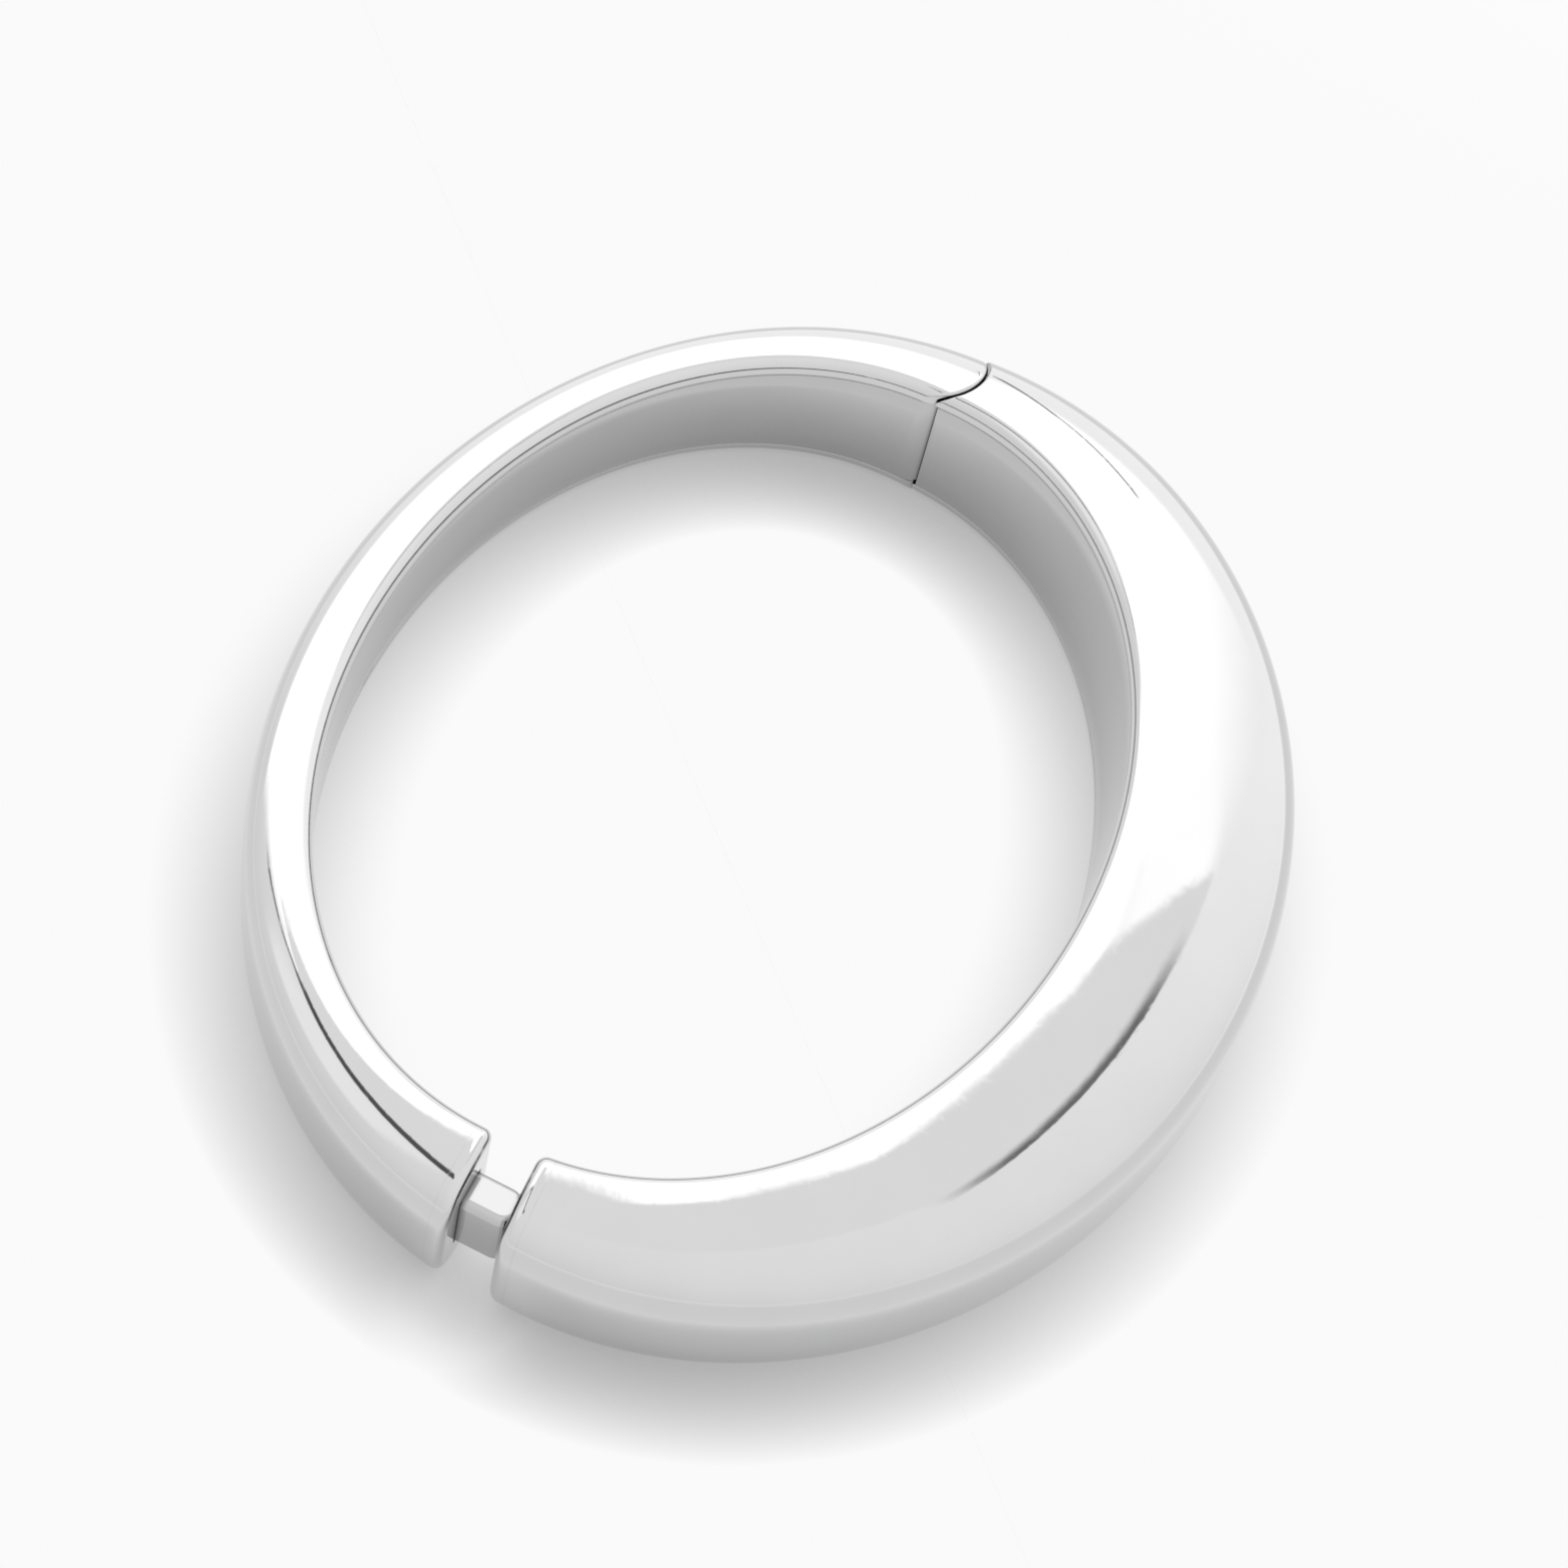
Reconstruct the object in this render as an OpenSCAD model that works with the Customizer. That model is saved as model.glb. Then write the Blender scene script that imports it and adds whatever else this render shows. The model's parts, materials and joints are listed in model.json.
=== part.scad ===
// Hinged oval bangle bracelet, hollow, tapering from a broad front arm to a slim rear arm.
// The bangle lies on its lower rim. +Z runs along the wrist, +X points to the hinge, -X to the
// clasp, and the broad arm faces -Y. The origin is the centre of the wrist oval on that rim.

/* [Wrist oval] */
// Inside length, hinge to clasp
oval_length = 60; // [54:1:68]
// Inside width, front to rear
oval_width = 47; // [42:1:54]

/* [Band] */
// Height of the band at the middle of the front arm
front_height = 14.7; // [12:0.1:18]
// Height of the band at the middle of the rear arm
rear_height = 9.3; // [8:0.1:11.5]
// Thickness of the band at the middle of the front arm
front_thick = 12; // [8:0.1:14]
// Thickness of the band at the middle of the rear arm
rear_thick = 4; // [3.6:0.1:6]
// Thickness of the band at the clasp
clasp_thick = 6.3; // [6.2:0.1:8]
// Thickness of the band at the hinge
hinge_thick = 5.3; // [5.1:0.1:6]
// Width of the flat land along each rim
rim_land = 0.3; // [0.2:0.1:0.6]
// Radius between the rim land and the inside wall
edge_round = 0.9; // [0.6:0.05:1]

/* [Shells] */
// Thickness of the sheet that the shells and linings are made of
sheet = 0.7; // [0.5:0.05:0.8]
// Height of the lip that each shell turns down beside its lining
lip = 1.2; // [1.1:0.1:1.5]
// Thickness of the end caps at the clasp
cap_thick = 1.2; // [0.8:0.1:1.6]
// Solder line between pieces of one arm
joint_gap = 0.02; // [0.01:0.01:0.04]

/* [Hinge] */
// Angle that the rear arm stands open in the rest position
rest_open = 2.6; // [0:0.05:10]
// Distance from the inside wall to the hinge axis
axis_depth = 3.2; // [3:0.05:3.4]
// Radius of the round nose on the rear arm, centred on the hinge axis
nose_r = 3.25; // [3.22:0.01:3.4]
// Running gap between the nose and the cup
nose_gap = 0.1; // [0.08:0.01:0.2]
// Radius of the hinge pin
pin_r = 0.7; // [0.5:0.05:0.8]
// Running gap round the pin in the middle knuckle
pin_gap = 0.04; // [0.02:0.01:0.08]
// Radius of the middle knuckle
knuckle_r = 1.8; // [1.5:0.05:1.9]
// Height of the slot in the nose for the middle knuckle
slot_height = 4; // [3:0.1:5]
// Gap above and below the middle knuckle
slot_gap = 0.15; // [0.1:0.05:0.3]

/* [Clasp] */
// Gap between the two end faces when the bangle is shut
face_gap = 0.1; // [0.05:0.05:0.2]
// Length of tongue that stands out of the rear arm
tongue_reach = 3.5; // [3:0.1:3.8]
// Thickness of the tongue
tongue_thick = 2.6; // [2.4:0.1:2.7]
// Height of the tongue
tongue_height = 6; // [5:0.1:6.2]
// Distance from the inside wall to the tongue
tongue_depth = 1.6; // [1.55:0.05:1.7]
// Clearance between the tongue and its socket
socket_gap = 0.3; // [0.2:0.05:0.32]
// Wall of the socket box
socket_wall = 0.5; // [0.4:0.05:0.55]
// Radius of the magnet in the tongue
tongue_magnet_r = 0.9; // [0.6:0.05:0.95]
// Length of the magnet in the tongue
tongue_magnet_length = 2; // [1:0.1:2.5]
// Radius of the magnet behind the socket
socket_magnet_r = 1.2; // [0.8:0.1:1.3]
// Length of the magnet behind the socket
socket_magnet_length = 1.6; // [1:0.1:2]

/* [Hidden] */

half_length = oval_length / 2;
half_width = oval_width / 2;
mid_height = (front_height + rear_height) / 2;
height_slope = (front_height - rear_height) / 2;
mean_thick = (front_thick + rear_thick + clasp_thick + hinge_thick) / 4;
side_thick = (front_thick - rear_thick) / 2;
oval_thick = (clasp_thick + hinge_thick - front_thick - rear_thick) / 4;
end_thick = (clasp_thick - hinge_thick) / 2;
side_power = 2.4;
rim_power = 5;
dome_steps = 14;
round_steps = 3;
hollow_steps = dome_steps + 2 * (round_steps + 1);
plug_steps = 12;
sweep_step = 5;
nose_angle = asin((nose_r + 0.4) / half_width);
cup_block_angle = asin((nose_r + 1.8) / half_width);
axis_x = half_length + axis_depth;
cup_r = nose_r + nose_gap;
tall = front_height + 4;
slot_low = (mid_height - slot_height) / 2;
slot_high = (mid_height + slot_height) / 2;
slot_x = axis_x - knuckle_r - 0.2;
slot_back = knuckle_r + 0.3;
web_inner = 1.4;
bulkhead_angles = [nose_angle + 0.05, nose_angle + 2];
pin_low = 1.8;
pin_high = mid_height - pin_low;
tongue_x = -(half_length + tongue_depth + tongue_thick / 2);
tongue_root = 2.5;
tongue_low = (mid_height - tongue_height) / 2;
socket_depth = tongue_reach + 0.4;
silver = "gainsboro";
steel = "silver";
round_fn = 64;

// A point of the wrist oval at angle a, moved out along the oval's normal by depth r
function oval_normal(a) =
    let (n = [cos(a) / half_length, sin(a) / half_width])
    n / norm(n);
function oval_point(a, r) =
    [half_length * cos(a), half_width * sin(a)] + r * oval_normal(a);

// Height and thickness of the band at angle a
function band_height(a) = mid_height - height_slope * sin(a);
function band_thick(a) =
    mean_thick - side_thick * sin(a) + oval_thick * cos(2 * a) - end_thick * cos(a);

// Half superellipse from bottom to top: r0 to r1 in depth, and low to high in height
function dome_path(r0, r1, low, high, steps) =
    let (mid = (low + high) / 2, half = (high - low) / 2)
    [for (i = [0:steps])
        let (f = -90 + 180 * i / steps)
        [r0 + (r1 - r0) * pow(max(cos(f), 0), 2 / side_power),
         mid + half * sign(sin(f)) * pow(abs(sin(f)), 2 / rim_power)]];

// Outline of the band from its lower inside edge, round the dome, to its upper inside edge
function band_path(t, h) = concat(
    [for (i = [0:round_steps])
        let (f = 180 + 90 * i / round_steps)
        [edge_round * (1 + cos(f)), edge_round * (1 + sin(f))]],
    dome_path(edge_round + rim_land, t, 0, h, dome_steps),
    [for (i = [0:round_steps])
        let (f = 90 + 90 * i / round_steps)
        [edge_round * (1 + cos(f)), h - edge_round * (1 - sin(f))]]);

// Outline of the hollow behind the lining
function cavity_path(t, h, gap, steps) =
    dome_path(sheet + gap, t - sheet - gap, sheet + gap, h - sheet - gap, steps);

// Cross-sections at angle a, as [depth, height] points
function band_section(a) = band_path(band_thick(a), band_height(a));
function plug_section(a) = cavity_path(band_thick(a), band_height(a), joint_gap, plug_steps);
function lining_section(a) =
    let (low = lip + joint_gap, high = band_height(a) - lip - joint_gap)
    [[0, low], [sheet, low], [sheet, high], [0, high]];
function shell_section(a) =
    let (
        h = band_height(a),
        hollow = cavity_path(band_thick(a), h, 0, hollow_steps),
        last = len(hollow) - 1)
    concat([[0, lip]], band_section(a), [[0, h - lip], [sheet, h - lip]],
        [for (i = [0:last]) hollow[last - i]], [[sheet, lip]]);

// Triangles that close one end of a sweep, laid across its cross-section like the rungs of a
// ladder, from the points numbered from start on
function end_rungs(start, count) = [for (j = [0:ceil(count / 2) - 2])
    let (low = start + j, high = start + count - 1 - j)
    each high - low > 2 ? [[low, low + 1, high], [low + 1, high - 1, high]]
        : [[low, low + 1, high]]];
function turned(faces) = [for (f = faces) [f[2], f[1], f[0]]];

// A closed solid with the given cross-sections, one for each angle
module sweep(angles, sections) {
    count = len(sections[0]);
    last = len(angles) - 1;
    points = [for (i = [0:last]) for (p = sections[i])
        let (flat = oval_point(angles[i], p[0]))
        [flat[0], flat[1], p[1]]];
    sides = [for (i = [0:last - 1]) for (j = [0:count - 1])
        let (a = i * count + j, b = i * count + (j + 1) % count)
        each [[a, a + count, b], [b, a + count, b + count]]];
    ends = concat(end_rungs(0, count), turned(end_rungs(last * count, count)));
    polyhedron(points = points, faces = concat(sides, ends), convexity = 8);
}

// Angles from a0 to a1 in even steps of about sweep_step
function angle_list(a0, a1) =
    let (n = max(2, ceil((a1 - a0) / sweep_step)))
    [for (i = [0:n]) a0 + (a1 - a0) * i / n];

module at_axis() {
    translate([axis_x, 0, 0]) children();
}

// Everything on the front side of the hinge that the round nose does not fill
module beyond_nose() {
    difference() {
        translate([half_length / 2, -2 * nose_r, -1]) cube([half_length, 2 * nose_r, tall]);
        at_axis() translate([0, 0, -2]) cylinder(r = nose_r, h = tall + 2, $fn = round_fn);
    }
}

// The space that the nose turns in
module cup_space() {
    at_axis() translate([0, 0, -2]) cylinder(r = cup_r, h = tall + 2, $fn = round_fn);
}

// The room that both end caps take up at the clasp
module clasp_space() {
    reach = cap_thick + joint_gap;
    translate([-2 * half_length, -reach, -1]) cube([2 * half_length, 2 * reach, tall]);
}

// An end cap between y0 and y1: the outline of the band with a hole of the tongue's size
module clasp_cap(y0, y1, gap) {
    translate([0, y1, 0]) rotate([90, 0, 0]) linear_extrude(y1 - y0) difference() {
        polygon([for (p = band_section(180)) [-(half_length + p[0]), p[1]]]);
        translate([tongue_x - tongue_thick / 2 - gap, tongue_low - gap])
            square([tongue_thick + 2 * gap, tongue_height + 2 * gap]);
    }
}

// The slot through the nose that the middle knuckle turns in
module knuckle_slot() {
    translate([slot_x, -2 * nose_r, slot_low])
        cube([2 * nose_r, 2 * nose_r + slot_back, slot_height]);
}

// Turns the rear arm from its shut position to its rest position
module rear_arm() {
    at_axis() rotate([0, 0, -rest_open]) translate([-axis_x, 0, 0]) children();
}

// Pieces of the front arm

module front_shell() {
    angles = angle_list(180, 360);
    color(silver) difference() {
        sweep(angles, [for (a = angles) shell_section(a)]);
        cup_space();
        clasp_space();
    }
}

module front_lining() {
    angles = angle_list(180, 360);
    color(silver) difference() {
        sweep(angles, [for (a = angles) lining_section(a)]);
        cup_space();
        clasp_space();
    }
}

module tongue_block(gap, y0, y1) {
    translate([tongue_x - tongue_thick / 2 - gap, y0, tongue_low - gap])
        cube([tongue_thick + 2 * gap, y1 - y0, tongue_height + 2 * gap]);
}

module front_clasp_cap() {
    color(silver) clasp_cap(-cap_thick, -face_gap / 2, socket_gap);
}

module clasp_socket() {
    mouth = -cap_thick - 0.1;
    color(steel) difference() {
        tongue_block(socket_gap + socket_wall, -socket_depth - socket_wall, mouth);
        tongue_block(socket_gap, -socket_depth, mouth + 1);
    }
}

module socket_magnet() {
    color(steel)
        translate([tongue_x, -socket_depth - socket_wall - joint_gap, mid_height / 2])
        rotate([90, 0, 0])
        cylinder(r = socket_magnet_r, h = socket_magnet_length, $fn = round_fn);
}

// Solid end of the front arm, hollowed into a cup for the nose
module front_cup_block() {
    angles = angle_list(360 - cup_block_angle, 360);
    color(silver) difference() {
        sweep(angles, [for (a = angles) plug_section(a)]);
        cup_space();
    }
}

module middle_knuckle() {
    low = slot_low + slot_gap;
    height = slot_height - 2 * slot_gap;
    color(silver) at_axis() translate([0, 0, low]) difference() {
        union() {
            cylinder(r = knuckle_r, h = height, $fn = round_fn);
            intersection() {
                translate([-web_inner, -cup_r, 0]) cube([web_inner + knuckle_r, cup_r, height]);
                cylinder(r = cup_r - joint_gap, h = height, $fn = round_fn);
            }
        }
        translate([0, 0, -1]) cylinder(r = pin_r + pin_gap, h = height + 2, $fn = round_fn);
    }
}

// Pieces of the rear arm

module rear_shell() {
    angles = angle_list(-nose_angle, 180);
    color(silver) rear_arm() difference() {
        sweep(angles, [for (a = angles) shell_section(a)]);
        beyond_nose();
        knuckle_slot();
        clasp_space();
    }
}

module rear_lining() {
    angles = angle_list(-nose_angle, 180);
    color(silver) rear_arm() difference() {
        sweep(angles, [for (a = angles) lining_section(a)]);
        beyond_nose();
        clasp_space();
    }
}

module rear_clasp_cap() {
    color(silver) rear_arm() clasp_cap(face_gap / 2, cap_thick, joint_gap);
}

// Plan of the tongue: a straight root and a round tip
module tongue_plan() {
    half = tongue_thick / 2;
    translate([0, half - tongue_reach]) circle(r = half, $fn = round_fn);
    translate([-half, half - tongue_reach])
        square([tongue_thick, tongue_reach - half + tongue_root]);
}

module clasp_tongue() {
    color(silver) rear_arm() difference() {
        translate([tongue_x, 0, tongue_low]) linear_extrude(tongue_height) tongue_plan();
        translate([tongue_x, tongue_root + 1, mid_height / 2]) rotate([90, 0, 0])
            cylinder(r = tongue_magnet_r + joint_gap, h = tongue_root + tongue_reach,
                $fn = round_fn);
    }
}

module tongue_magnet() {
    color(steel) rear_arm()
        translate([tongue_x, 1.05 - tongue_reach + tongue_magnet_length, mid_height / 2])
        rotate([90, 0, 0])
        cylinder(r = tongue_magnet_r, h = tongue_magnet_length, $fn = round_fn);
}

// Closes the hollow of the rear arm behind the knuckles
module rear_bulkhead() {
    angles = angle_list(bulkhead_angles[0], bulkhead_angles[1]);
    color(silver) rear_arm() sweep(angles, [for (a = angles) plug_section(a)]);
}

// A knuckle of the rear arm: it fills the nose, is bored for the pin, and leaves out the
// stretch of height that starts at cut_low
module rear_knuckle(cut_low) {
    angles = angle_list(-nose_angle, nose_angle);
    color(silver) rear_arm() difference() {
        sweep(angles, [for (a = angles) plug_section(a)]);
        beyond_nose();
        translate([half_length / 2, -half_width, cut_low]) cube([oval_length, oval_width, tall]);
        at_axis() translate([0, 0, -1]) cylinder(r = pin_r, h = tall, $fn = round_fn);
    }
}

module upper_knuckle() {
    rear_knuckle(slot_high - tall);
}

module lower_knuckle() {
    rear_knuckle(slot_low);
}

module hinge_pin() {
    color(steel) rear_arm() at_axis() translate([0, 0, pin_low])
        cylinder(r = pin_r, h = pin_high - pin_low, $fn = round_fn);
}

front_shell();
front_lining();
front_clasp_cap();
clasp_socket();
socket_magnet();
front_cup_block();
middle_knuckle();
rear_shell();
rear_lining();
rear_clasp_cap();
clasp_tongue();
tongue_magnet();
rear_bulkhead();
upper_knuckle();
lower_knuckle();
hinge_pin();
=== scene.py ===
import json
import math

import bmesh
import bpy
import numpy as np
from mathutils import Matrix, Vector

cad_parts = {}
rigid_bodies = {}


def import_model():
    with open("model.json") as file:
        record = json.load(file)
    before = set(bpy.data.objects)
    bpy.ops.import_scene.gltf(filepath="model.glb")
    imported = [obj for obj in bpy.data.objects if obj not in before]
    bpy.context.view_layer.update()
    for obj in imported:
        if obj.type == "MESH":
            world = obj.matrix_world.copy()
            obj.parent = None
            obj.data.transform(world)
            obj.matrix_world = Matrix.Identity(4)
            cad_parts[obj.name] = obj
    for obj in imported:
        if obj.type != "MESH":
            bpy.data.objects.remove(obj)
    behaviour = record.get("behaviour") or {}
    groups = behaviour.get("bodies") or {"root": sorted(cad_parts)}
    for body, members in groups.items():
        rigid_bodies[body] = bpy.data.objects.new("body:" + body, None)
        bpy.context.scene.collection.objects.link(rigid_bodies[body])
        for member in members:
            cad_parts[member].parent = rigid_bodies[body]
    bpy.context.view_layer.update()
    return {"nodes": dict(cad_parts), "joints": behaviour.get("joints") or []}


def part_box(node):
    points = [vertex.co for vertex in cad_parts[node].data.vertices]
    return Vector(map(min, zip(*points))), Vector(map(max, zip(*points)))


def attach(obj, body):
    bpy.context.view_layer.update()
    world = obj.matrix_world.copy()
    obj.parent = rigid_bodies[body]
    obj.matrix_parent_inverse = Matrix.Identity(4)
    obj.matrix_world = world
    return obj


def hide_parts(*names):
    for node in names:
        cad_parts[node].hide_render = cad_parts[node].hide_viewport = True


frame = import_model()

# ---------------------------------------------------------------- sizes, in metres

# Sheet that the shells and linings are made of, and the parts of its outline
SHEET = 0.0007
LIP = 0.0012
EDGE_ROUND = 0.0009
RIM_LAND = 0.0003
SIDE_POWER = 2.4
RIM_POWER = 5.0
SEAM = 0.00002
SEAM_EDGE = 0.00005
CAP_SEAM = 0.000004

# The slim middle of the rear arm, and the thickness at the hinge
REAR_HEIGHT = 0.0093
REAR_THICK = 0.0040
HINGE_THICK = 0.0053

# The hinge
NOSE_R = 0.00325
CUP_R = 0.00335
CUP_ROUND = 0.00018
NOSE_ROUND = 0.00035
LINING_ROUND = 0.00042
SLOT_HEIGHT = 0.004
SLOT_BACK = 0.0021
SLOT_INNER = 0.002

# The clasp
CAP_THICK = 0.0012
FACE_GAP = 0.00005
FACE_ROUND = 0.00068
HOLE_ROUND = 0.00008
SUPPORT = 0.00003
TONGUE_THICK = 0.0026
TONGUE_HEIGHT = 0.006
TONGUE_DEPTH = 0.0016
TONGUE_REACH = 0.0035
TONGUE_ROOT = 0.0025
TONGUE_ROUND = 0.00055
SOCKET_GAP = 0.0003
TONGUE_GAP = 0.00002
POCKET_R = 0.00092
POCKET_TIP = 0.001

# The rest of the driving sizes are read from the frame
CAP_LOW, CAP_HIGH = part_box("front_clasp_cap")
SHELL_LOW, SHELL_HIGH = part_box("front_shell")
HALF_LENGTH = -CAP_HIGH.x
HALF_WIDTH = -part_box("front_lining")[0].y - SHEET
MID_HEIGHT = CAP_HIGH.z
FRONT_HEIGHT = SHELL_HIGH.z
FRONT_THICK = -SHELL_LOW.y - HALF_WIDTH
CLASP_THICK = CAP_HIGH.x - CAP_LOW.x
HINGE = frame["joints"][0]
AXIS = np.array(HINGE["pos_m"][:2])
REST_OPEN = -math.radians(HINGE["range_deg"][0])
FRONT_BODY = HINGE["parent"]
REAR_BODY = HINGE["child"]

HEIGHT_SLOPE = (FRONT_HEIGHT - REAR_HEIGHT) / 2
MEAN_THICK = (FRONT_THICK + REAR_THICK + CLASP_THICK + HINGE_THICK) / 4
SIDE_THICK = (FRONT_THICK - REAR_THICK) / 2
OVAL_THICK = (CLASP_THICK + HINGE_THICK - FRONT_THICK - REAR_THICK) / 4
END_THICK = (CLASP_THICK - HINGE_THICK) / 2
TONGUE_X = -(HALF_LENGTH + TONGUE_DEPTH + TONGUE_THICK / 2)

# How finely the curved surfaces are divided
DOME_STEPS = 64
DOME_SAMPLES = 3001
FILLET_STEPS = 14
SEAM_STEPS = 3
LINING_STEPS = 6
WALL_STEPS = 13
ROW_STEP = math.radians(1.0)
END_ROWS = 14
CAP_ROWS = 3
EDGE_STEPS = 5
HOLE_STEPS = 3
TIP_STEPS = 40
SIDE_STEPS = 5
POCKET_SIDES = 48
SHARP = math.radians(32)

# The search for the angle where a station meets a surface
HALVINGS = 45
CLASP_SEARCH = math.radians(10)
HINGE_SEARCH = math.radians(15)
SMALL_TURN = 1e-4

# ---------------------------------------------------------------- the band as a formula
# A station is a point of the cross-section whose depth and height follow the band:
# depth = s0 + s1 * thickness, height = s2 + s3 * height of the band.


def band_height(a):
    return MID_HEIGHT - HEIGHT_SLOPE * np.sin(a)


def band_thick(a):
    return (MEAN_THICK - SIDE_THICK * np.sin(a) + OVAL_THICK * np.cos(2 * a)
            - END_THICK * np.cos(a))


def place(a, stations):
    """The points of the stations at angles a round the wrist, with the bangle shut."""
    depth = stations[..., 0] + stations[..., 1] * band_thick(a)
    height = stations[..., 2] + stations[..., 3] * band_height(a)
    nx, ny = np.cos(a) / HALF_LENGTH, np.sin(a) / HALF_WIDTH
    size = np.hypot(nx, ny)
    x = HALF_LENGTH * np.cos(a) + depth * nx / size
    y = HALF_WIDTH * np.sin(a) + depth * ny / size
    return np.stack([x, y, height + 0 * a], axis=-1)


def dome_turns():
    """Cosine and sine shares along the half superellipse, closest where it turns most."""
    even = np.linspace(-1, 1, DOME_SAMPLES)
    f = np.unique(np.concatenate([even * math.pi / 2,
                                  np.arcsin(np.sign(even) * np.abs(even) ** (RIM_POWER / 2))]))
    c = np.clip(np.cos(f), 0, 1) ** (2 / SIDE_POWER)
    s = np.sign(f) * np.abs(np.sin(f)) ** (2 / RIM_POWER)
    x, z = CLASP_THICK * c, MID_HEIGHT / 2 * s
    run = np.hypot(np.diff(x), np.diff(z))
    turn = np.abs(np.diff(np.unwrap(np.arctan2(np.diff(z), np.diff(x)))))
    measure = np.cumsum(np.concatenate([[0], run / run.sum()
                                        + np.concatenate([turn, [0]]) / turn.sum()]))
    at = np.linspace(0, measure[-1], DOME_STEPS + 1)
    return np.interp(at, measure, c), np.interp(at, measure, s)


DOME_C, DOME_S = dome_turns()


def dome(start, inset):
    """Stations of the dome from bottom to top, inset from the outside by that much."""
    return np.stack([start - (inset + start) * DOME_C, DOME_C, -inset * DOME_S,
                     (1 + DOME_S) / 2], axis=-1)


def upside_down(stations):
    """The same stations at the upper rim, in the order from the dome to the inner wall."""
    turned = stations[::-1].copy()
    turned[:, 2] = -turned[:, 2]
    turned[:, 3] = 1 - turned[:, 3]
    return turned


def low_points(pairs):
    return np.array([[depth, 0, height, 0] for depth, height in pairs])


FILLET = [(EDGE_ROUND * (1 - math.cos(f)), EDGE_ROUND * (1 - math.sin(f)))
          for f in np.linspace(0, math.pi / 2, FILLET_STEPS + 1)]
LAND = [(EDGE_ROUND + RIM_LAND / 2, 0)]
SOFT_EDGE = [(SEAM_EDGE * (1 - math.sin(f)), SEAM_EDGE * (1 - math.cos(f)))
             for f in np.linspace(0, math.pi / 2, SEAM_STEPS + 1)]


def shell_stations():
    """The seen side and the back of a shell, with matching points."""
    low = low_points([(depth, LIP - up) for depth, up in SOFT_EDGE] + FILLET + LAND)
    seen = np.concatenate([low, dome(EDGE_ROUND + RIM_LAND, 0), upside_down(low)])
    count = len(low)
    low = low_points([(SHEET, LIP + (SHEET - LIP) * k / count) for k in range(count)])
    back = np.concatenate([low, dome(SHEET, SHEET), upside_down(low)])
    return seen, back


def lining_stations():
    """The seen side and the back of a lining."""
    low = low_points([(depth, LIP + SEAM + up) for depth, up in SOFT_EDGE])
    top = upside_down(low)
    share = np.linspace(0, 1, LINING_STEPS + 1)[1:-1, None]
    seen = np.concatenate([low, low[-1] + (top[0] - low[-1]) * share, top])
    back = seen.copy()
    back[:, 0] = SHEET
    return seen, back


def outline_stations():
    """The whole closed outline of the band."""
    low = low_points(FILLET + LAND)
    top = upside_down(low)
    share = np.linspace(0, 1, WALL_STEPS + 1)[1:-1, None]
    wall = top[-1] + (low[0] - top[-1]) * share
    return np.concatenate([low, dome(EDGE_ROUND + RIM_LAND, 0), top, wall])


def solve(test, start, end):
    """Where test changes from positive, at start, to negative, at end."""
    start, end = start + 0.0, end + 0.0
    for _ in range(HALVINGS):
        middle = (start + end) / 2
        positive = test(middle) > 0
        start = np.where(positive, middle, start)
        end = np.where(positive, end, middle)
    return (start + end) / 2


def clasp_angle(stations, y):
    """The angle, near the clasp, at which each station reaches that y."""
    side = math.copysign(1, y)
    blank = np.zeros(len(stations))
    return solve(lambda a: side * (y - place(a, stations)[..., 1]),
                 blank + math.pi, blank + math.pi - side * CLASP_SEARCH)


def hinge_angle(stations, radius, axis_side):
    """The angle at which each station reaches the round of that radius about the hinge."""
    blank = np.zeros(stations.shape[:-1])
    return solve(lambda a: np.linalg.norm(place(a, stations)[..., :2] - AXIS, axis=-1) - radius,
                 blank + axis_side - HINGE_SEARCH, blank + axis_side)


# ---------------------------------------------------------------- mesh helpers


def arc(a, corner, b, steps):
    """Points of the round that leaves a and reaches b, tangent to both sides of the corner."""
    weight = math.sqrt(0.5)
    points = []
    for t in np.linspace(0, 1, steps + 1):
        p, q, r = (1 - t) ** 2, 2 * t * (1 - t) * weight, t ** 2
        points.append((p * a + q * corner + r * b) / (p + q + r))
    return points


def turned_open(points):
    """Points of the rear arm, turned from shut to the rest position."""
    c, s = math.cos(-REST_OPEN), math.sin(-REST_OPEN)
    moved = points.copy()
    x, y = points[..., 0] - AXIS[0], points[..., 1] - AXIS[1]
    moved[..., 0] = AXIS[0] + c * x - s * y
    moved[..., 1] = AXIS[1] + s * x + c * y
    return moved


def grid_faces(rows, columns, close_columns):
    """Quads of a grid whose rows close into a ring, and its columns too if asked."""
    across = columns if close_columns else columns - 1
    faces = []
    for i in range(rows):
        for j in range(across):
            k, m = (i + 1) % rows, (j + 1) % columns
            faces.append((i * columns + j, k * columns + j, k * columns + m, i * columns + m))
    return faces


def add_piece(name, points, faces, body, slot, nodes, cut=None, material=None):
    """A closed mesh that rides on a body and stands for CAD nodes. Its metal is the one of its
    slot, unless a material is named."""
    mesh = bpy.data.meshes.new(name)
    mesh.from_pydata(points.reshape(-1, 3).tolist(), [], faces)
    bm = bmesh.new()
    bm.from_mesh(mesh)
    bmesh.ops.recalc_face_normals(bm, faces=bm.faces)
    bm.to_mesh(mesh)
    bm.free()
    piece = bpy.data.objects.new(name, mesh)
    bpy.context.scene.collection.objects.link(piece)
    if cut is not None:
        cut_away(piece, cut)
    piece.data.shade_smooth()
    piece.data.set_sharp_from_angle(angle=SHARP)
    piece.data.materials.append(MATERIALS[material or slot])
    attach(piece, body)
    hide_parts(*nodes)
    return piece


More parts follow.
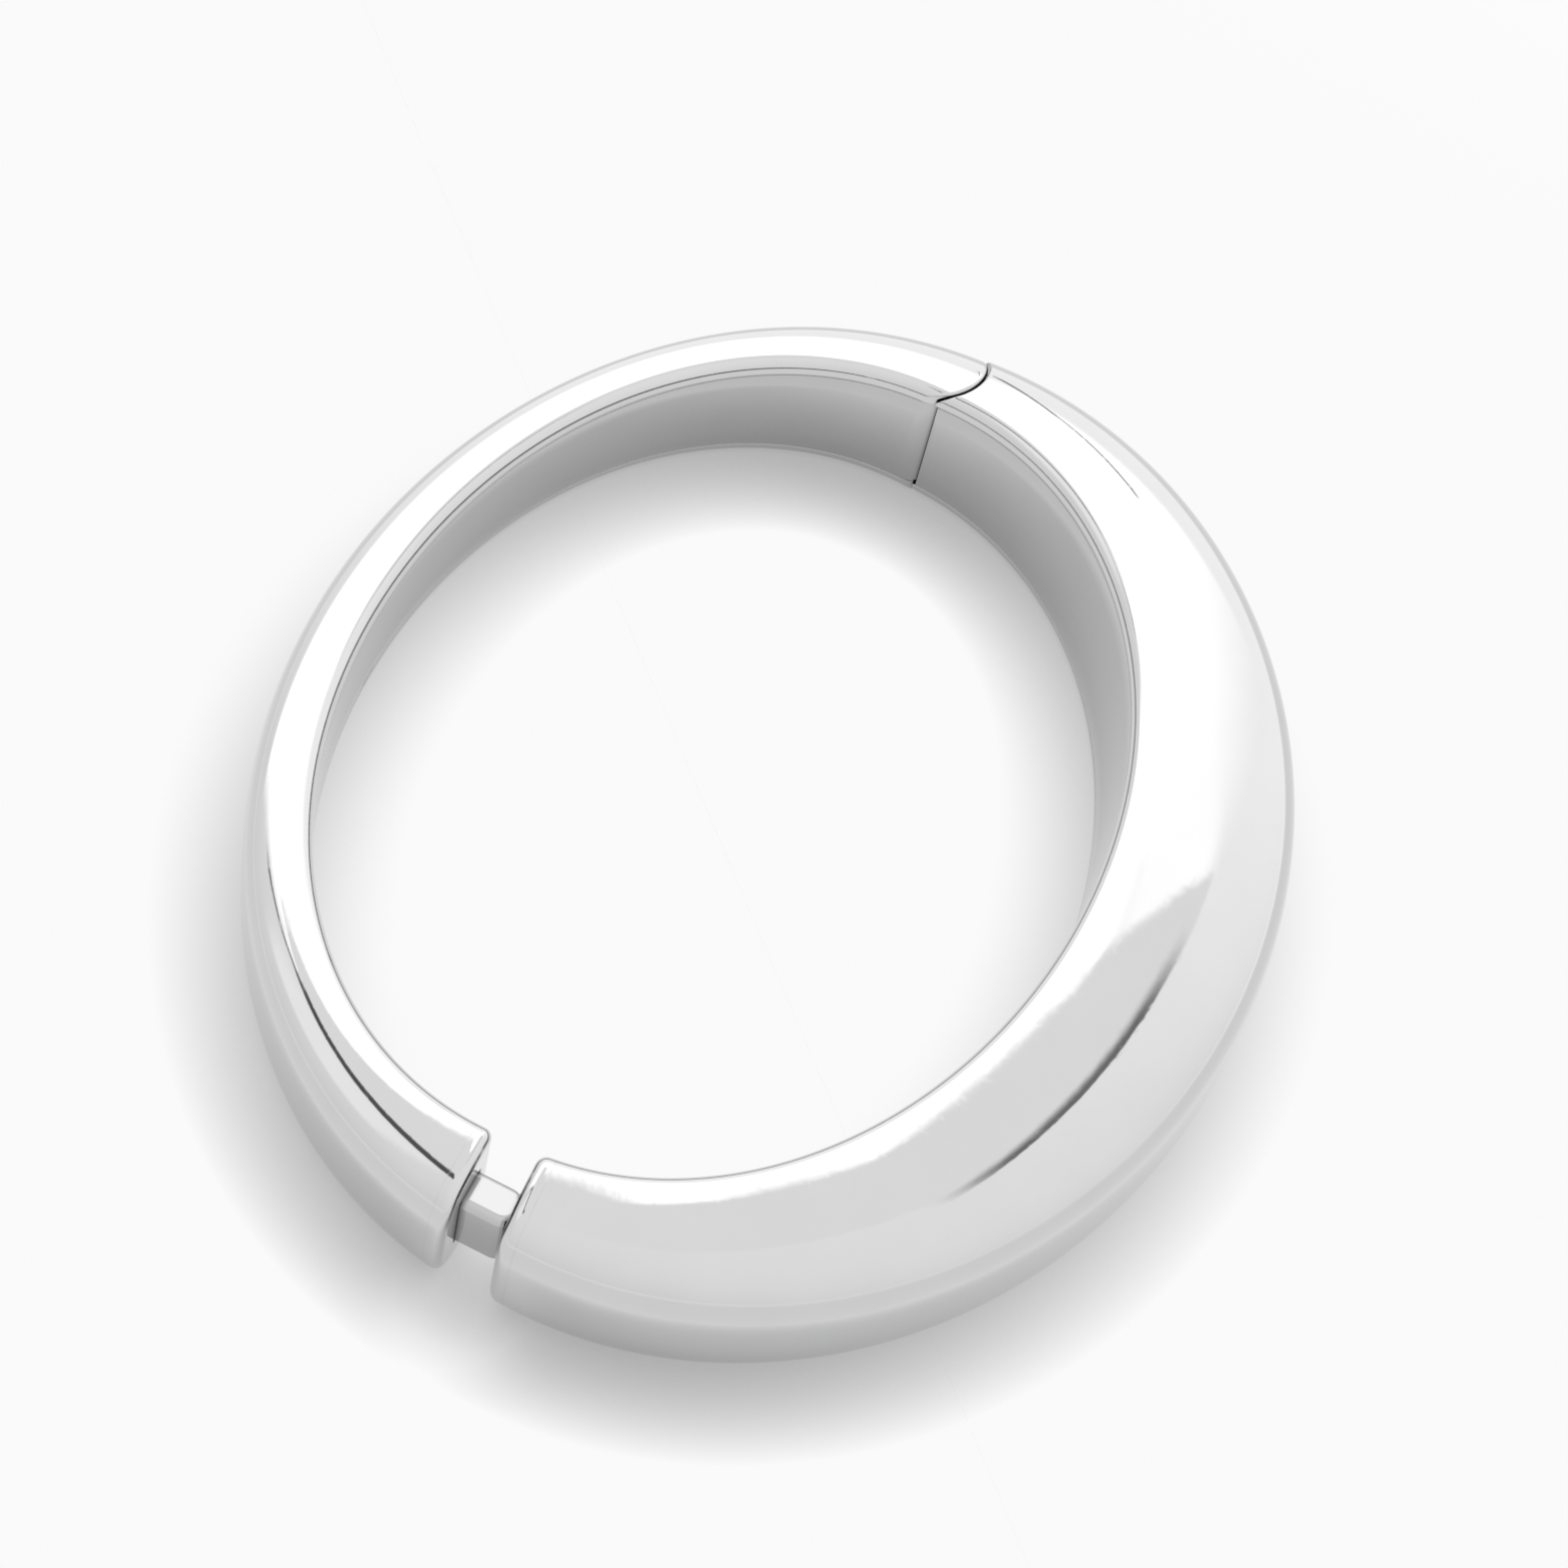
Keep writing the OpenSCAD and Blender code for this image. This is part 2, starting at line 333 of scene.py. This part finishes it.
def cut_away(piece, cutter):
    """Takes the cutter's volume out of the piece, and deletes the cutter."""
    modifier = piece.modifiers.new("cut", "BOOLEAN")
    modifier.operation = "DIFFERENCE"
    modifier.solver = "EXACT"
    modifier.object = cutter
    depsgraph = bpy.context.evaluated_depsgraph_get()
    cut_mesh = bpy.data.meshes.new_from_object(piece.evaluated_get(depsgraph))
    piece.modifiers.clear()
    piece.data = cut_mesh
    bpy.data.objects.remove(cutter)


def cutter_box(low, high):
    """A box between two corners, turned with the rear arm."""
    corners = np.array([[x, y, z] for x in (low[0], high[0]) for y in (low[1], high[1])
                        for z in (low[2], high[2])])
    mesh = bpy.data.meshes.new("cutter")
    mesh.from_pydata(turned_open(corners).tolist(), [],
                     [(0, 1, 3, 2), (4, 6, 7, 5), (0, 4, 5, 1), (2, 3, 7, 6), (0, 2, 6, 4),
                      (1, 5, 7, 3)])
    cutter = bpy.data.objects.new("cutter", mesh)
    bpy.context.scene.collection.objects.link(cutter)
    return cutter


# ---------------------------------------------------------------- pieces of the two arms
# side is the arm's side of the clasp plane. radius and round belong to its end at the hinge,
# which is at the angle axis_side. first and last are the angles where the end rows begin, and
# back_step is the sign of a turn away from the hinge.

FRONT = {"body": FRONT_BODY, "side": -1, "radius": CUP_R, "round": CUP_ROUND,
         "axis_side": 2 * math.pi, "back_step": -1,
         "first": math.radians(186), "last": math.radians(346)}
REAR = {"body": REAR_BODY, "side": 1, "radius": NOSE_R, "round": NOSE_ROUND,
        "axis_side": 0.0, "back_step": 1,
        "first": math.radians(174), "last": math.radians(7)}


def posed(points, arm):
    return turned_open(points) if arm is REAR else points


def arm_rows(stations, first_angles, last_angles, arm):
    """Rows of points from the clasp to the hinge; the end rows follow the two end angles."""
    count = int(round(abs(arm["last"] - arm["first"]) / ROW_STEP))
    rows = [first_angles + (arm["first"] - first_angles) * k / END_ROWS for k in range(END_ROWS)]
    rows += [arm["first"] + (arm["last"] - arm["first"]) * k / count + 0 * first_angles
             for k in range(count)]
    rows += [arm["last"] + (last_angles - arm["last"]) * k / (2 * END_ROWS)
             for k in range(2 * END_ROWS + 1)]
    return [place(a, stations) for a in rows]


def skin(name, stations, arm, edge_round, cut=None, material=None):
    """A bent sheet from the clasp to the hinge, with a softened edge along the hinge seam."""
    seen, back = stations
    flat_y = arm["side"] * (CAP_THICK + CAP_SEAM)
    at_edge = hinge_angle(seen, arm["radius"], arm["axis_side"])
    ahead, behind = place(at_edge + SMALL_TURN, seen), place(at_edge - SMALL_TURN, seen)
    speed = np.linalg.norm(ahead - behind, axis=-1) / (2 * SMALL_TURN)
    before = at_edge + arm["back_step"] * edge_round / speed
    edge = place(at_edge, seen)
    through = np.linalg.norm(place(at_edge, back) - edge, axis=-1)
    round_share = edge_round / through
    wall = []
    for share in (round_share, (1 + round_share) / 2):
        at = seen + (back - seen) * share[:, None]
        wall.append(place(hinge_angle(at, arm["radius"], arm["axis_side"]), at))
    front_rows = arm_rows(seen, clasp_angle(seen, flat_y), before, arm)
    back_rows = arm_rows(back, clasp_angle(back, flat_y),
                         hinge_angle(back, arm["radius"], arm["axis_side"]), arm)
    seam = arc(front_rows[-1], edge, wall[0], EDGE_STEPS)[1:]
    rows = front_rows + seam + [wall[1]] + back_rows[::-1]
    count, columns = len(rows), len(seen)
    faces = grid_faces(count, columns, False)
    last = len(front_rows) - 1
    for column in (0, columns - 1):
        for i in range(last):
            faces.append(tuple(k * columns + column
                               for k in (i, i + 1, count - 2 - i, count - 1 - i)))
        faces.append(tuple(k * columns + column for k in range(last, count - last)))
    return add_piece(name, posed(np.array(rows), arm), faces, arm["body"], "polished_silver",
                     [name], cut, material)


def inset_outline(points, distance):
    """A closed outline in the face plane, moved inwards."""
    along = np.roll(points, -1, axis=0) - np.roll(points, 1, axis=0)
    inward = np.stack([-along[:, 2], 0 * along[:, 0], along[:, 0]], axis=-1)
    inward /= np.linalg.norm(inward, axis=-1)[:, None]
    centre = points.mean(axis=0)
    if np.sum(inward * (centre - points)) < 0:
        inward = -inward
    return points + distance * inward


def hole_outline(face, half_x, half_z):
    """The tongue's hole in shares of its half sizes, with one point for each point of the face
    outline. The nearest points are moved into the four corners."""
    centre = np.array([TONGUE_X, 0, MID_HEIGHT / 2])
    away = face - centre
    unit = np.stack([away[:, 0] / half_x, away[:, 2] / half_z], axis=-1)
    unit /= np.abs(unit).max(axis=-1)[:, None]
    for corner in ((-1, -1), (-1, 1), (1, -1), (1, 1)):
        unit[np.argmin(np.linalg.norm(unit - np.array(corner), axis=-1))] = corner
    return unit


def clasp_cap(name, arm, gap):
    """An end cap: the band's outline with softened edges, and the hole of the tongue."""
    outline = outline_stations()
    side = arm["side"]

    def loop(y):
        points = place(clasp_angle(outline, y), outline)
        points[:, 1] = y
        return points

    face_y, back_y = side * FACE_GAP, side * CAP_THICK
    round_y = face_y + side * FACE_ROUND
    edge = loop(face_y)
    rows = [loop(back_y + (round_y - back_y) * k / CAP_ROWS) for k in range(CAP_ROWS)]
    rows += arc(loop(round_y), edge, inset_outline(edge, FACE_ROUND), 2 * EDGE_STEPS)
    rows += [inset_outline(edge, FACE_ROUND + SUPPORT)]
    half_x, half_z = TONGUE_THICK / 2 + gap, TONGUE_HEIGHT / 2 + gap
    unit = hole_outline(edge, half_x, half_z)

    def hole(extra, y):
        return np.stack([TONGUE_X + unit[:, 0] * (half_x + extra), y + 0 * unit[:, 0],
                         MID_HEIGHT / 2 + unit[:, 1] * (half_z + extra)], axis=-1)

    rows += [hole(HOLE_ROUND + SUPPORT, face_y)]
    rows += arc(hole(HOLE_ROUND, face_y), hole(0, face_y), hole(0, face_y + side * HOLE_ROUND),
                HOLE_STEPS)
    rows += [hole(0, back_y)]
    faces = grid_faces(len(rows), len(outline), True)
    return add_piece(name, posed(np.array(rows), arm), faces, arm["body"], "polished_silver",
                     [name])


def tongue_plan(inset):
    """Plan of the tongue, with a round tip: points go from root to tip and back."""
    half = TONGUE_THICK / 2
    width = half - inset
    tip = [(width * math.cos(f), half - TONGUE_REACH - width * math.sin(f))
           for f in np.linspace(0, math.pi, TIP_STEPS + 1)]
    sides = np.linspace(TONGUE_ROOT, half - TONGUE_REACH, SIDE_STEPS + 1)[:-1]
    plan = [(width, y) for y in sides] + tip + [(-width, y) for y in sides[::-1]]
    return np.array([(TONGUE_X + x, y) for x, y in plan])


def clasp_tongue():
    """The tongue, with softened edges and the pocket for its magnet."""
    low = (MID_HEIGHT - TONGUE_HEIGHT) / 2
    high = low + TONGUE_HEIGHT
    turns = np.linspace(0, math.pi / 2, 2 * EDGE_STEPS + 1)
    levels = [(TONGUE_ROUND + SUPPORT, 0)]
    levels += [(TONGUE_ROUND * (1 - math.sin(f)), TONGUE_ROUND * (1 - math.cos(f))) for f in turns]
    stack = [(inset, low + up) for inset, up in levels]
    stack += [(inset, high - up) for inset, up in levels[::-1]]
    loops = []
    for inset, z in stack:
        plan = tongue_plan(inset)
        loops.append(np.column_stack([plan, np.full(len(plan), z)]))
    columns = len(loops[0])
    # The first and last loops aren't joined to each other: flat faces close the two ends
    faces = [f for f in grid_faces(len(loops), columns, True) if max(f) - min(f) < 2 * columns]
    faces += [tuple(range(columns)),
              tuple(range((len(loops) - 1) * columns, len(loops) * columns))]
    bpy.ops.mesh.primitive_cylinder_add(
        vertices=POCKET_SIDES, radius=POCKET_R, depth=TONGUE_ROOT + TONGUE_REACH,
        location=(TONGUE_X, 0, MID_HEIGHT / 2), rotation=(math.pi / 2, 0, 0))
    cutter = bpy.context.object
    cutter.data.transform(cutter.matrix_world)
    cutter.matrix_world = Matrix.Identity(4)
    shift = (TONGUE_ROOT + TONGUE_REACH) / 2 - TONGUE_REACH + POCKET_TIP
    for vertex in cutter.data.vertices:
        vertex.co = Vector(turned_open(np.array(vertex.co) + np.array([0, shift, 0])))
    return add_piece("clasp_tongue", turned_open(np.array(loops)), faces, REAR_BODY,
                     "polished_silver", ["clasp_tongue"], cutter, "dull_and_shaded_silver")


# ---------------------------------------------------------------- materials


class Nodes:
    """A short way to write a node tree."""

    def __init__(self, material):
        material.use_nodes = True
        self.tree = material.node_tree
        self.tree.nodes.clear()

    def add(self, kind, inputs=None, **settings):
        node = self.tree.nodes.new(kind)
        for key, value in settings.items():
            setattr(node, key, value)
        for key, value in (inputs or {}).items():
            if isinstance(value, bpy.types.NodeSocket):
                self.tree.links.new(value, node.inputs[key])
            else:
                node.inputs[key].default_value = value
        return node

    def ramp(self, factor, stops):
        node = self.add("ShaderNodeValToRGB", {"Fac": factor})
        ramp = node.color_ramp
        while len(ramp.elements) < len(stops):
            ramp.elements.new(0.5)
        for element, (position, level) in zip(ramp.elements, stops):
            element.position = position
            element.color = (level, level, level, 1)
        return node.outputs["Color"]


# Noises, as (scale per metre, detail, roughness): slow unevenness, fine grime and hairlines
CLOUD = (260.0, 3.0, 0.55)
GRIME = (1400.0, 4.0, 0.6)
HAIRS = (900.0, 2.0, 0.5)
HAIR_TURN = (0.4, 0.9, 0.3)
HAIR_STRETCH = (1.0, 1.0, 34.0)
HAIR_RANGE = (0.60, 0.66)
HAIR_ROUGH = 0.03
# How far an edge must stand out to be worn, and the wear that gives the full worn roughness
EDGE_RANGE = (0.515, 0.60)
FULL_WEAR = 0.7
# Painted shade in narrow seams, which darkens the reflectance: reach, range of openness, and what
# is left of the reflectance
CREVICE_REACH = 0.0006
CREVICE_RANGE = (0.42, 0.90)
CREVICE_DARK = 0.15
CREVICE_SAMPLES = 8
# How much more blue than red and green a metal reflects
BLUE_TINT = 1.004


def metal(name, tone, polish, wave, scratch):
    """A plated metal: tone is its (dark, light) reflectance, polish its (smooth, worn)
    roughness, wave the height of its slow unevenness, and scratch that of its hairlines."""
    material = bpy.data.materials.new(name)
    nodes = Nodes(material)
    place_in = nodes.add("ShaderNodeTexCoord").outputs["Object"]
    turned = nodes.add("ShaderNodeMapping", {
        "Vector": place_in, "Rotation": HAIR_TURN, "Scale": HAIR_STRETCH}).outputs["Vector"]
    cloud, grime, hairs = (
        nodes.add("ShaderNodeTexNoise", {"Vector": vector, "Scale": scale, "Detail": detail,
                                         "Roughness": roughness}).outputs["Fac"]
        for vector, (scale, detail, roughness) in (
            (place_in, CLOUD), (place_in, GRIME), (turned, HAIRS)))
    hair_lines = nodes.ramp(hairs, [(HAIR_RANGE[0], 0.0), (HAIR_RANGE[1], 1.0)])
    edge = nodes.ramp(nodes.add("ShaderNodeNewGeometry").outputs["Pointiness"],
                      [(EDGE_RANGE[0], 0.0), (EDGE_RANGE[1], 1.0)])
    worn = nodes.add("ShaderNodeMath", {0: edge, 1: grime}, operation="MULTIPLY").outputs[0]
    dark, light = ((level, level, level * BLUE_TINT, 1) for level in tone)
    colour = nodes.add("ShaderNodeMix", {0: cloud, 6: dark, 7: light},
                       data_type="RGBA").outputs[2]
    # Painted shade: an occlusion test darkens the reflectance in seams and gaps between parts
    open_sky = nodes.add("ShaderNodeAmbientOcclusion", {"Distance": CREVICE_REACH},
                         samples=CREVICE_SAMPLES).outputs["AO"]
    seam_shade = nodes.add("ShaderNodeMapRange", {
        "Value": open_sky, "From Min": CREVICE_RANGE[0], "From Max": CREVICE_RANGE[1],
        "To Min": CREVICE_DARK, "To Max": 1.0}).outputs["Result"]
    toned = nodes.add("ShaderNodeVectorMath", {0: colour, "Scale": seam_shade},
                      operation="SCALE").outputs["Vector"]
    rough = nodes.add("ShaderNodeMapRange", {
        "Value": worn, "From Min": 0.0, "From Max": FULL_WEAR,
        "To Min": polish[0], "To Max": polish[1]}).outputs["Result"]
    rough_hair = nodes.add("ShaderNodeMath", {0: hair_lines, 1: HAIR_ROUGH, 2: rough},
                           operation="MULTIPLY_ADD").outputs[0]
    slow = nodes.add("ShaderNodeBump", {"Height": cloud, "Strength": 1.0,
                                        "Distance": wave}).outputs["Normal"]
    fine = nodes.add("ShaderNodeBump", {"Height": hair_lines, "Strength": 1.0,
                                        "Distance": scratch, "Normal": slow}).outputs["Normal"]
    shader = nodes.add("ShaderNodeBsdfPrincipled", {
        "Base Color": toned, "Metallic": 1.0, "Roughness": rough_hair, "Normal": fine})
    nodes.add("ShaderNodeOutputMaterial", {"Surface": shader.outputs["BSDF"]})
    return material


# The second silver, for the linings and the tongue: its polish is duller, and its lower
# reflectance is painted shade that darkens the inside of the band and the tongue
MATERIALS = {
    "polished_silver": metal("polished_silver", (0.60, 0.63), (0.035, 0.12), 5e-6, 1e-7),
    "dull_and_shaded_silver": metal("dull_and_shaded_silver", (0.49, 0.52), (0.045, 0.12), 5e-6, 1e-7),
    "plated_hinge": metal("plated_hinge", (0.58, 0.62), (0.08, 0.20), 4e-6, 3e-7),
    "steel_pin": metal("steel_pin", (0.52, 0.56), (0.16, 0.28), 2e-6, 6e-7),
    "magnet_nickel": metal("magnet_nickel", (0.56, 0.60), (0.12, 0.22), 3e-6, 3e-7),
}

# The nodes that keep their CAD meshes, and the metal of each
KEPT_NODES = {
    "clasp_socket": "plated_hinge", "socket_magnet": "magnet_nickel",
    "tongue_magnet": "magnet_nickel", "front_cup_block": "plated_hinge",
    "middle_knuckle": "plated_hinge", "rear_bulkhead": "plated_hinge",
    "upper_knuckle": "plated_hinge", "lower_knuckle": "plated_hinge",
    "hinge_pin": "steel_pin",
}

# ---------------------------------------------------------------- floor, light and camera

FLOOR_REACH = 6.0
# Brightness of the floor: near the object, far from it, and what the far side adds. It goes
# from near to far between the two distances of FLOOR_CHANGE.
FLOOR_NEAR = 0.955
FLOOR_FAR = 1.07
FLOOR_GLARE = 0.28
FLOOR_CHANGE = (0.07, 0.24)
# The soft shadow on the floor: how deep it is, how far it reaches, where its light comes from
# in degrees clockwise from the far side, and how far that light leans over
SHADE = 0.78
SHADE_REACH = 0.0062
SHADE_FROM = 15
SHADE_LEAN = 2.0
SHADE_SAMPLES = 24

# The sky: the direction of the far side, which is about straight up in the picture, the mean
# brightness, and what is added towards the far side, the right and the top
FAR_SIDE = math.radians(25)
SKY_LEVEL = 1.02
SKY_SLOPE = (0.02, 0.07, 0.12)
# The glare low on the far side: its brightness, its middle, and the cosines at which it begins
# and is full
GLARE = 1.36
GLARE_AT = (25, 8)
GLARE_SPREAD = (0.25, 0.90)

# Panels of the studio round the object, as (brightness, softness of the edge in radians,
# corners). A corner is (degrees clockwise from the far side, degrees above the floor), and
# may add the softness of the edge from that corner to the next.
PANELS = [
    (1.25, 0.15, [(-67, 27), (-45, 55), (-90, 65), (-98, 43)]),
    (1.75, 0.10, [(-51, 20, 0.14), (-37, 24, 0.14), (5, 27, 0.14), (42, 20, 0.42),
                  (42, 64), (14, 77)]),
    (1.10, 0.02, [(-39, 57), (-31, 54), (51, 53), (85, 74), (-135, 81), (-95, 66)]),
    (1.75, 0.02, [(-12, 55), (-15, 69), (10, 72), (24, 66.5), (29, 62.4), (22, 53)]),
    (1.62, 0.10, [(27, 63.2, 0.015), (50, 53.8), (45, 51), (20, 54)]),
    (0.12, 0.02, [(-43, 54), (-37, 57), (-95, 68.5), (-96, 65)]),
    (0.26, 0.02, [(-48, 40), (-39, 56), (-40.5, 57), (-49.5, 41)]),
    (0.22, 0.05, [(55.2, 59.3, 0.006), (86.7, 72.8, 0.14), (82, 74.9), (51, 60.4, 0.12)]),
    (0.26, 0.01, [(15, 21), (16.5, 20.5), (20, 30), (19, 30.5)]),
    (0.26, 0.01, [(19.2, 30), (20, 29.6), (26.5, 36), (26, 36.8)]),
]


def toward(clockwise, elevation):
    """Unit vector at that many degrees clockwise from the far side, and above the floor."""
    a, e = FAR_SIDE - math.radians(clockwise), math.radians(elevation)
    return Vector((math.cos(a) * math.cos(e), math.sin(a) * math.cos(e), math.sin(e)))


def floor():
    """The pale sheet under the object, with a glare on its far side and a soft shadow."""
    mesh = bpy.data.meshes.new("floor")
    mesh.from_pydata([(x * FLOOR_REACH, y * FLOOR_REACH, 0)
                      for x, y in ((-1, -1), (1, -1), (1, 1), (-1, 1))], [], [(0, 1, 2, 3)])
    sheet = bpy.data.objects.new("floor", mesh)
    bpy.context.scene.collection.objects.link(sheet)
    material = bpy.data.materials.new("pale_floor")
    nodes = Nodes(material)
    where = nodes.add("ShaderNodeTexCoord").outputs["Object"]
    away = nodes.add("ShaderNodeVectorMath", {0: where}, operation="LENGTH").outputs["Value"]
    tone = nodes.add("ShaderNodeMapRange", {
        "Value": away, "From Min": FLOOR_CHANGE[0], "From Max": FLOOR_CHANGE[1],
        "To Min": FLOOR_NEAR, "To Max": FLOOR_FAR},
        interpolation_type="SMOOTHSTEP").outputs["Result"]
    ahead = nodes.add("ShaderNodeVectorMath", {0: where, 1: toward(GLARE_AT[0], 0)},
                      operation="DOT_PRODUCT").outputs["Value"]
    glare = nodes.add("ShaderNodeMapRange", {
        "Value": ahead, "From Min": FLOOR_CHANGE[0], "From Max": FLOOR_CHANGE[1],
        "To Min": 0.0, "To Max": FLOOR_GLARE},
        interpolation_type="SMOOTHSTEP").outputs["Result"]
    bright = nodes.add("ShaderNodeMath", {0: tone, 1: glare}, operation="ADD").outputs[0]
    light_from = (toward(SHADE_FROM, 0) * SHADE_LEAN + Vector((0, 0, 1))).normalized()
    leaning = nodes.add("ShaderNodeCombineXYZ", dict(enumerate(light_from))).outputs[0]
    open_sky = nodes.add("ShaderNodeAmbientOcclusion", {
        "Distance": SHADE_REACH, "Normal": leaning}, samples=SHADE_SAMPLES).outputs["AO"]
    shade = nodes.add("ShaderNodeMath", {0: open_sky, 1: SHADE, 2: 1 - SHADE},
                      operation="MULTIPLY_ADD").outputs[0]
    level = nodes.add("ShaderNodeMath", {0: bright, 1: shade}, operation="MULTIPLY").outputs[0]
    glow = nodes.add("ShaderNodeEmission", {"Strength": level})
    nodes.add("ShaderNodeOutputMaterial", {"Surface": glow.outputs[0]})
    mesh.materials.append(material)


def panel_mask(nodes, direction, corners, soft):
    """A factor that is 1 between the corners and fades to 0 across the edges."""
    points = [toward(*corner[:2]) for corner in corners]
    middle = sum(points, Vector())
    mask = None
    for corner, first, second in zip(corners, points, points[1:] + points[:1]):
        fade = corner[2] if len(corner) > 2 else soft
        inward = first.cross(second).normalized()
        if inward.dot(middle) < 0:
            inward = -inward
        reach = nodes.add("ShaderNodeVectorMath", {0: direction, 1: inward},
                          operation="DOT_PRODUCT").outputs["Value"]
        edge = nodes.add("ShaderNodeMapRange", {
            "Value": reach, "From Min": -fade / 2, "From Max": fade / 2},
            interpolation_type="SMOOTHSTEP").outputs["Result"]
        if mask is not None:
            edge = nodes.add("ShaderNodeMath", {0: mask, 1: edge},
                             operation="MULTIPLY").outputs[0]
        mask = edge
    return mask


def studio():
    """The soft light round the object: a pale sky with a few brighter and darker panels."""
    scene = bpy.context.scene
    scene.world = bpy.data.worlds.new("studio")
    nodes = Nodes(scene.world)
    direction = nodes.add("ShaderNodeTexCoord").outputs["Generated"]
    slope = SKY_SLOPE[0] * toward(0, 0) + SKY_SLOPE[1] * toward(90, 0)
    slope.z = SKY_SLOPE[2]
    lean = nodes.add("ShaderNodeVectorMath", {0: direction, 1: slope},
                     operation="DOT_PRODUCT").outputs["Value"]
    level = nodes.add("ShaderNodeMath", {0: lean, 1: SKY_LEVEL}, operation="ADD").outputs[0]
    near_glare = nodes.add("ShaderNodeVectorMath", {0: direction, 1: toward(*GLARE_AT)},
                           operation="DOT_PRODUCT").outputs["Value"]
    share = nodes.add("ShaderNodeMapRange", {
        "Value": near_glare, "From Min": GLARE_SPREAD[0], "From Max": GLARE_SPREAD[1]},
        interpolation_type="SMOOTHSTEP").outputs["Result"]
    level = nodes.add("ShaderNodeMix", {0: share, 2: level, 3: GLARE},
                      data_type="FLOAT").outputs[0]
    for brightness, soft, corners in PANELS:
        mask = panel_mask(nodes, direction, corners, soft)
        level = nodes.add("ShaderNodeMix", {0: mask, 2: level, 3: brightness},
                          data_type="FLOAT").outputs[0]
    light = nodes.add("ShaderNodeBackground", {"Color": level, "Strength": 1.0})
    nodes.add("ShaderNodeOutputWorld", {"Surface": light.outputs["Background"]})


CAMERA_AZIMUTH = math.radians(-80.38)
CAMERA_ELEVATION = math.radians(61.25)
CAMERA_DISTANCE = 0.3
CAMERA_ROLL = math.radians(15.5)
CAMERA_AIM = Vector((0.0056, -0.0022, 0))
CAMERA_LENS = 105.7
CAMERA_SENSOR = 36
CAMERA_CLIP = (0.01, 50)


def camera():
    """The camera, at a distance from its aim and rolled about its own axis."""
    data = bpy.data.cameras.new("camera")
    data.lens = CAMERA_LENS
    data.sensor_width = CAMERA_SENSOR
    data.clip_start, data.clip_end = CAMERA_CLIP
    view = bpy.data.objects.new("camera", data)
    bpy.context.scene.collection.objects.link(view)
    back = Vector((math.sin(CAMERA_AZIMUTH) * math.cos(CAMERA_ELEVATION),
                   -math.cos(CAMERA_AZIMUTH) * math.cos(CAMERA_ELEVATION),
                   math.sin(CAMERA_ELEVATION)))
    turn = (-back).to_track_quat("-Z", "Y").to_matrix() @ Matrix.Rotation(CAMERA_ROLL, 3, "Z")
    view.matrix_world = Matrix.Translation(CAMERA_AIM + back * CAMERA_DISTANCE) @ turn.to_4x4()
    bpy.context.scene.camera = view


# ---------------------------------------------------------------- build

camera()
floor()
studio()
bpy.context.scene.view_settings.view_transform = "Standard"

# Only the rear shell is cut, where the middle knuckle passes through it
slot_low = (MID_HEIGHT - SLOT_HEIGHT) / 2
slot_cut = cutter_box((AXIS[0] - SLOT_INNER, -2 * NOSE_R, slot_low),
                      (AXIS[0] + 2 * NOSE_R, SLOT_BACK, slot_low + SLOT_HEIGHT))
for arm, label, cut in ((FRONT, "front", None), (REAR, "rear", slot_cut)):
    skin(label + "_shell", shell_stations(), arm, arm["round"], cut)
    skin(label + "_lining", lining_stations(), arm, LINING_ROUND, material="dull_and_shaded_silver")
clasp_cap("front_clasp_cap", FRONT, SOCKET_GAP)
clasp_cap("rear_clasp_cap", REAR, TONGUE_GAP)
clasp_tongue()

for node, slot in KEPT_NODES.items():
    kept = frame["nodes"][node]
    for material_slot in kept.material_slots:
        material_slot.material = MATERIALS[slot]
